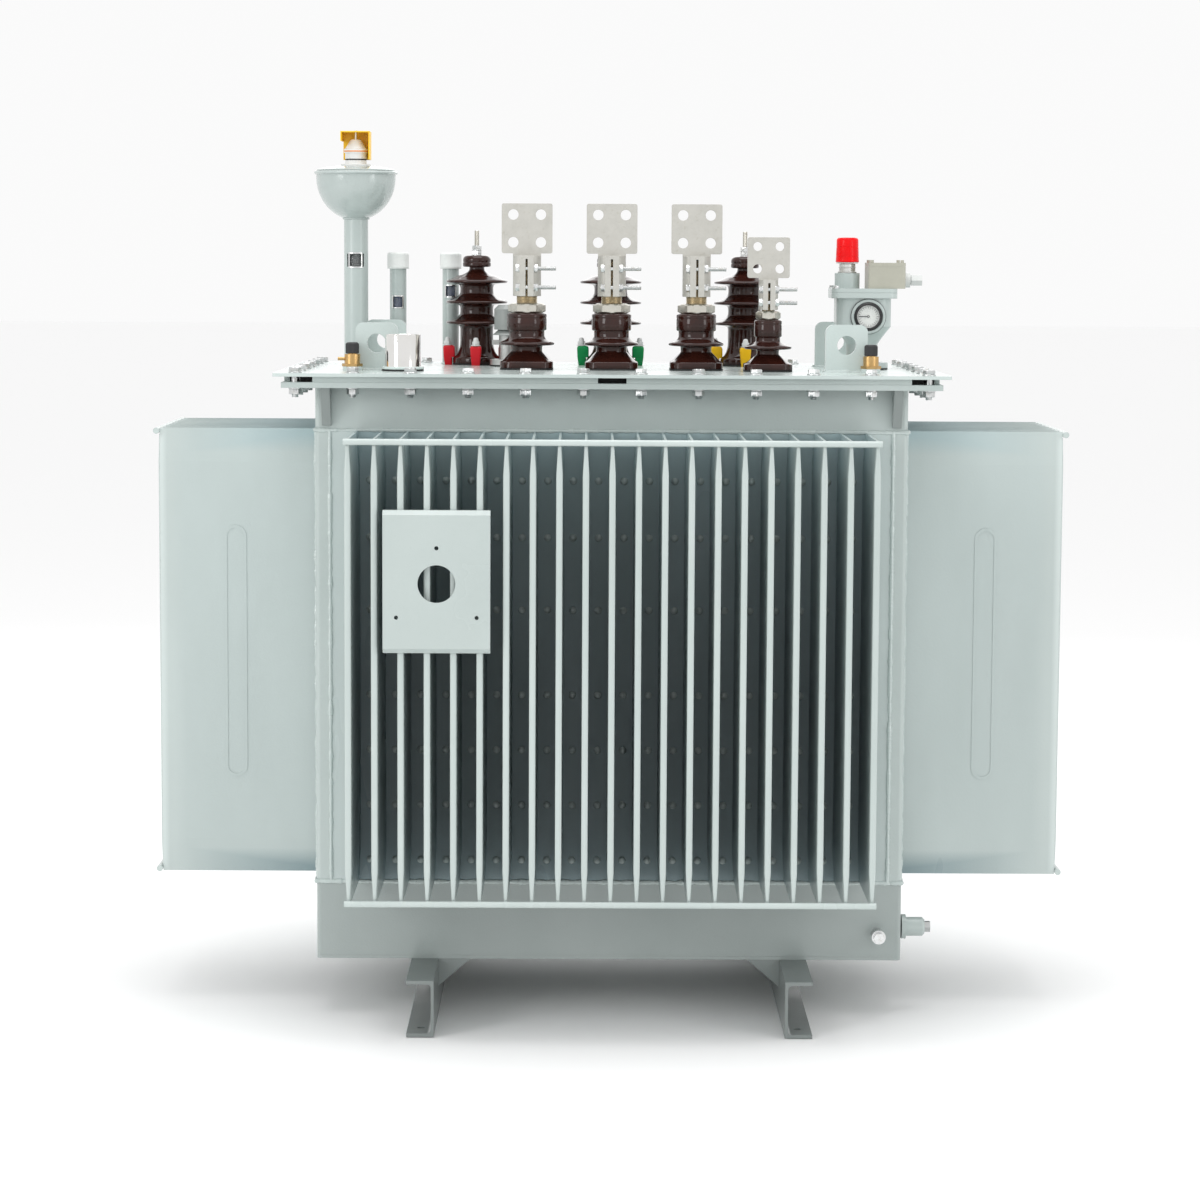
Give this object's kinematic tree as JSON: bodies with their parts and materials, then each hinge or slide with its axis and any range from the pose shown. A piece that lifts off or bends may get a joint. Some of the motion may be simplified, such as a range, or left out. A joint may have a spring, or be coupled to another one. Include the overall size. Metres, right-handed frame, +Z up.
{
  "type": "oil-filled distribution transformer",
  "caption": "Sealed oil-filled distribution transformer with a corrugated finned tank on channel runners and open porcelain bushings, filler bowl and protection relay on a bolted cover.",
  "frame": {"origin": "on the ground, midway between the four holding-down holes of the runners", "axes": "+Z up; +X to the right along the tank, as seen from the low-voltage side; the low-voltage side faces -Y"},
  "size_m": [1.641, 1.049, 1.5863],
  "materials": {
    "paint": "satin-gloss",
    "zinc": "zinc plated",
    "stainless": "polished",
    "brass": "turned",
    "brown_glaze": "gloss",
    "tinned": "matt, tin plated",
    "terminal_brass": "machined",
    "boot_plastic": "gloss; one colour for each phase",
    "red_plastic": "gloss",
    "black_plastic": "knurled",
    "white_plastic": "satin",
    "yellow_paint": "gloss",
    "valve_white": "satin",
    "rubber": "matt",
    "glass": "clear",
    "core_steel": "oiled laminations",
    "winding_paper": "oil-soaked",
    "copper": "bright copper",
    "relay_paint": "satin casting",
    "relay_beige": "satin",
    "gland_grey": "satin",
    "dial": "white face, dark ring",
    "needle_black": "matt",
    "navy_insert": "satin",
    "knob_grey": "satin"
  },
  "bodies": {
    "tank": {"base_channels": "paint", "gussets": "paint", "tank_bottom": "paint", "tank_lower_box": "paint", "corner_posts": "paint", "upper_band": "paint", "corrugated_front": "paint", "corrugated_rear": "paint", "corrugated_left": "paint", "corrugated_right": "paint", "stay_rods": "paint", "tank_flange": "paint", "cover_gasket": "rubber", "cover_plate": "paint", "flange_bolts": "zinc", "lifting_lugs": "paint", "instrument_plate": "paint", "drain_valve": "paint", "earth_stud": "zinc", "filler_pipe": "paint", "oil_bowl": "paint", "level_tubes": "paint", "tube_inserts": "navy_insert", "vent_cylinder": "stainless", "pocket_bodies": "brass", "sight_glasses": "glass", "cover_seals": "rubber", "relay_body": "relay_paint", "relay_head": "relay_beige", "relay_valve": "zinc", "terminal_box": "relay_beige", "cable_gland": "gland_grey", "relay_dial": "dial", "hv_porcelains": "brown_glaze", "hv_terminals": "zinc", "hv_dogs": "boot_plastic", "lv_porcelains": "brown_glaze", "lv_terminals": "terminal_brass", "lv_palms": "tinned", "clamp_hardware": "zinc", "tap_changer": "tinned", "core": "core_steel", "core_clamps": "core_steel", "lv_windings": "winding_paper", "hv_windings": "winding_paper", "leads": "copper"},
    "lid": {"bowl_lid": "paint", "relief_valve": "valve_white", "valve_hood": "yellow_paint"},
    "pin": {"relief_pin": "zinc"},
    "float": {"filler_float": "navy_insert"},
    "tube_cap_left": {"tube_cap_left": "white_plastic"},
    "tube_cap_right": {"tube_cap_right": "white_plastic"},
    "pocket_cap_left": {"pocket_cap_left": "black_plastic"},
    "pocket_cap_right": {"pocket_cap_right": "black_plastic"},
    "relay_cap": {"relay_cap": "red_plastic"},
    "gland_nut": {"gland_nut": "gland_grey"},
    "drain_plug": {"drain_plug": "zinc"},
    "needle": {"relay_needle": "needle_black"},
    "knob": {"tap_knob": "knob_grey"}
  },
  "joints": [
    {"name": "lid_turn", "type": "hinge", "parent": "tank", "child": "lid", "pos_m": [-0.477, 0.11, 1.5203], "axis": [0, 0, 1], "continuous": true},
    {"name": "pin_lift", "type": "slide", "parent": "lid", "child": "pin", "axis": [0, 0, 1], "range_m": [0, 0.006], "stiffness_N_per_m": 100, "springref_m": -0.01},
    {"name": "float_rise", "type": "slide", "parent": "tank", "child": "float", "axis": [0, 0, 1], "range_m": [-0.004, 0.004]},
    {"name": "tube_cap_left_turn", "type": "hinge", "parent": "tank", "child": "tube_cap_left", "pos_m": [-0.402, 0.17, 1.33], "axis": [0, 0, 1], "continuous": true},
    {"name": "tube_cap_right_turn", "type": "hinge", "parent": "tank", "child": "tube_cap_right", "pos_m": [-0.305, 0.23, 1.33], "axis": [0, 0, 1], "continuous": true},
    {"name": "pocket_cap_left_turn", "type": "hinge", "parent": "tank", "child": "pocket_cap_left", "pos_m": [-0.465, -0.168, 1.19], "axis": [0, 0, 1], "continuous": true},
    {"name": "pocket_cap_right_turn", "type": "hinge", "parent": "tank", "child": "pocket_cap_right", "pos_m": [0.465, -0.168, 1.19], "axis": [0, 0, 1], "continuous": true},
    {"name": "relay_cap_turn", "type": "hinge", "parent": "tank", "child": "relay_cap", "pos_m": [0.435, 0.02, 1.347], "axis": [0, 0, 1], "continuous": true},
    {"name": "gland_nut_turn", "type": "hinge", "parent": "tank", "child": "gland_nut", "pos_m": [0.573, 0.02, 1.314], "axis": [1, 0, 0], "continuous": true},
    {"name": "drain_plug_turn", "type": "hinge", "parent": "tank", "child": "drain_plug", "pos_m": [0.584, -0.235, 0.155], "axis": [1, 0, 0], "continuous": true},
    {"name": "needle_turn", "type": "hinge", "parent": "tank", "child": "needle", "pos_m": [0.471, -0.028, 1.248], "axis": [0, -1, 0], "range_deg": [-120, 120]},
    {"name": "knob_turn", "type": "hinge", "parent": "tank", "child": "knob", "pos_m": [-0.192, 0.092, 1.2083], "axis": [0, 0, 1], "range_deg": [-60, 60]}
  ]
}
